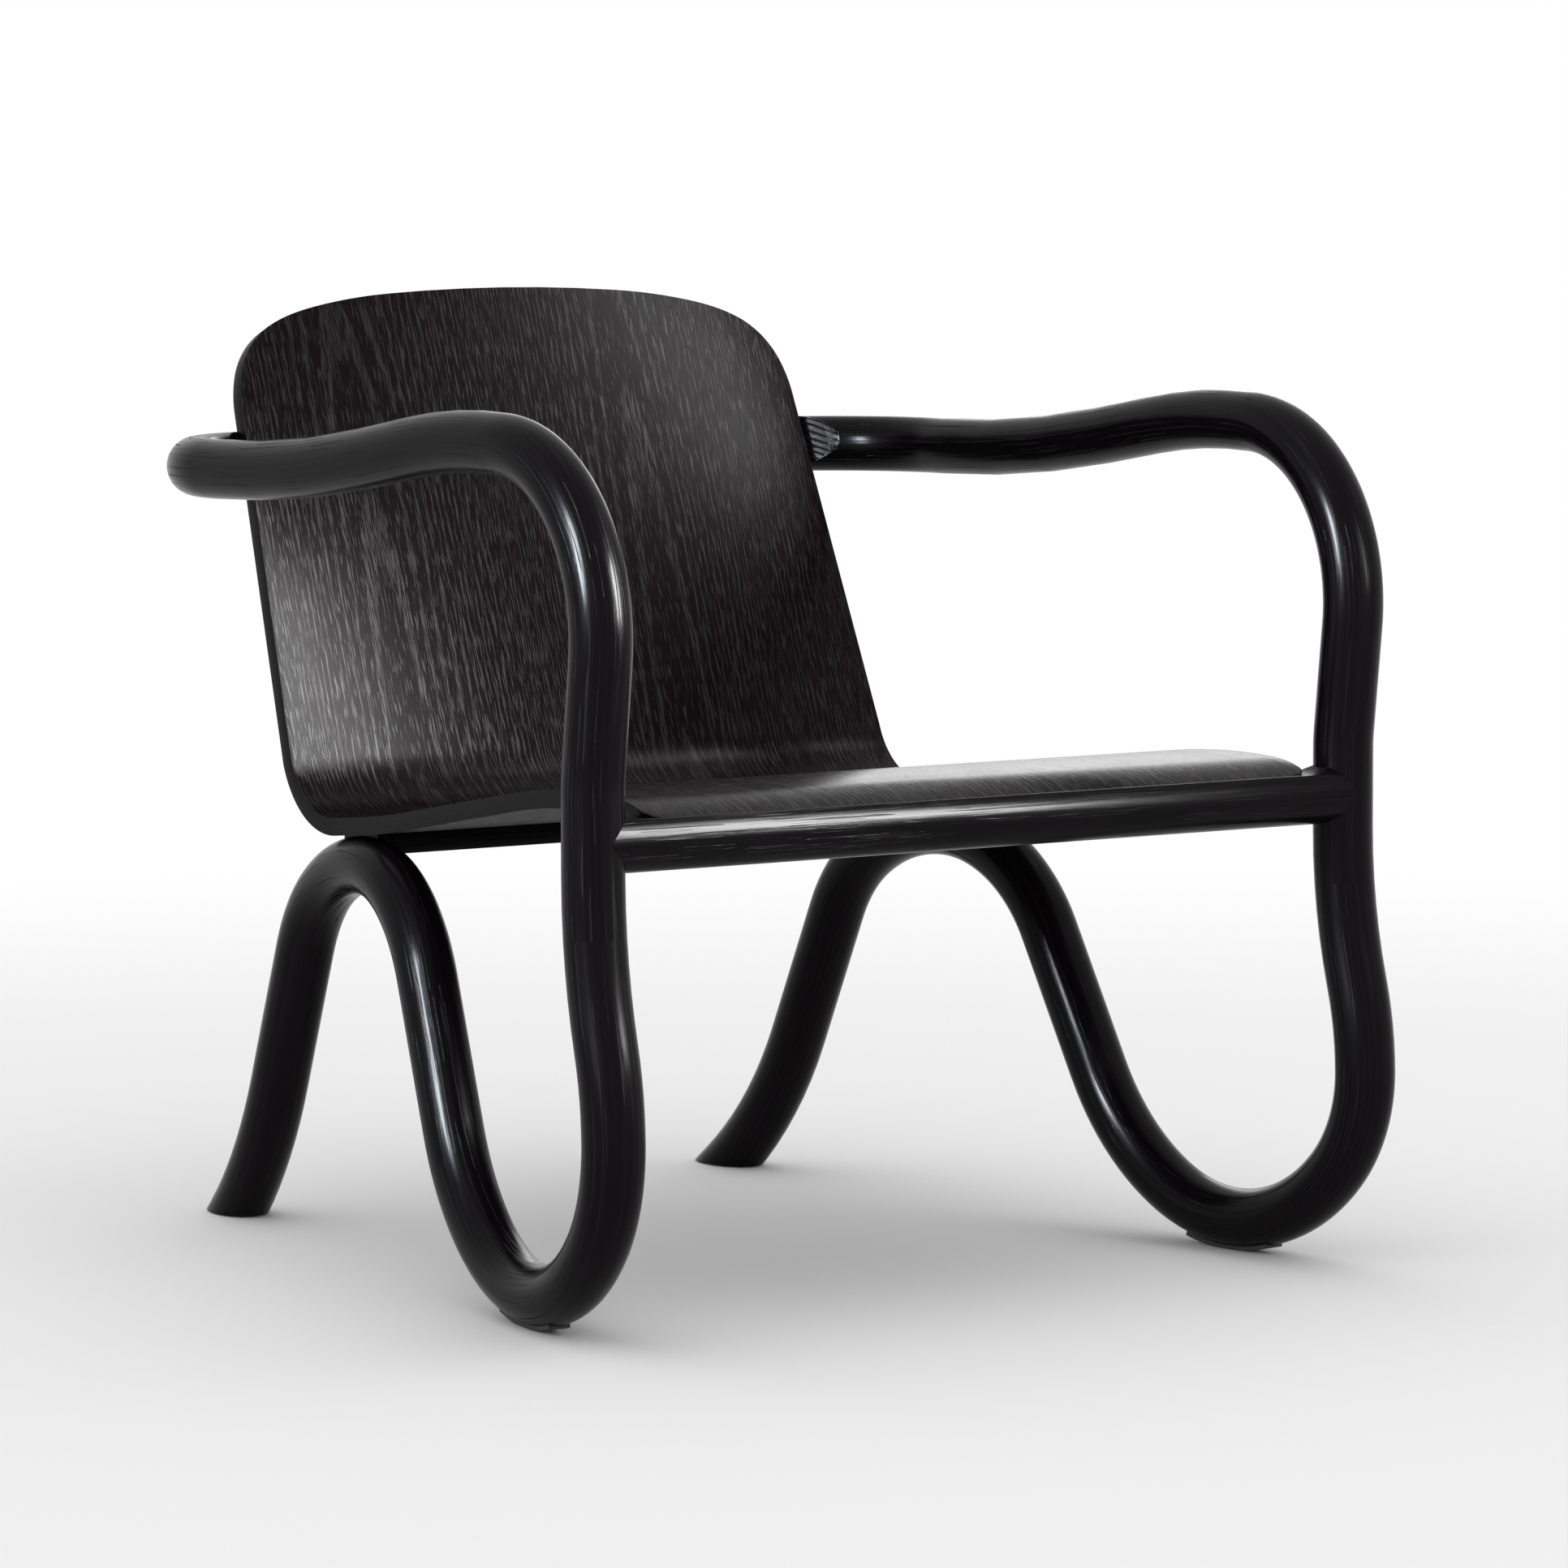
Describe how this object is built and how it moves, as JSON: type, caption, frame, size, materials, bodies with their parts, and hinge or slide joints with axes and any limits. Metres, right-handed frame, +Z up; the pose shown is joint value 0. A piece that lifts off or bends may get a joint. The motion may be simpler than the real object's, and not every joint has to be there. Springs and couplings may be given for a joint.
{
  "type": "lounge chair",
  "caption": "Low lounge chair: a moulded plywood seat and back shell on a frame of bent round wooden rods with looped front legs and an arm hoop",
  "frame": {"origin": "on the floor under the middle of the chair's overall box", "axes": "+Z up, +Y toward the back of the chair, +X toward the sitter's left"},
  "size_m": [0.6342, 0.6945, 0.6474],
  "materials": {
    "stained_shell": "black stained open-pored ash veneer, satin lacquer",
    "stained_rod": "black stained bent ash, satin lacquer",
    "plain_dowel": "plain beech, unfinished",
    "zinc_screw": "zinc plated",
    "black_bolt": "black oxide",
    "brass_insert": "plain brass",
    "black_glide": "matt nylon"
  },
  "bodies": {
    "root": {"seat_shell": "stained_shell", "arm_hoop": "stained_rod", "leg_frame_right": "stained_rod", "leg_frame_left": "stained_rod", "front_rail": "stained_rod", "rear_rail": "stained_rod", "leg_joint_dowels": "plain_dowel", "front_rail_dowels": "plain_dowel", "rear_rail_screws": "zinc_screw", "front_screws": "zinc_screw", "seat_bolts": "black_bolt", "seat_inserts": "brass_insert", "back_bolts": "black_bolt", "back_inserts": "brass_insert", "runner_glide_right": "black_glide", "runner_glide_left": "black_glide", "rear_foot_pad_right": "black_glide", "rear_foot_pad_left": "black_glide"}
  },
  "joints": []
}
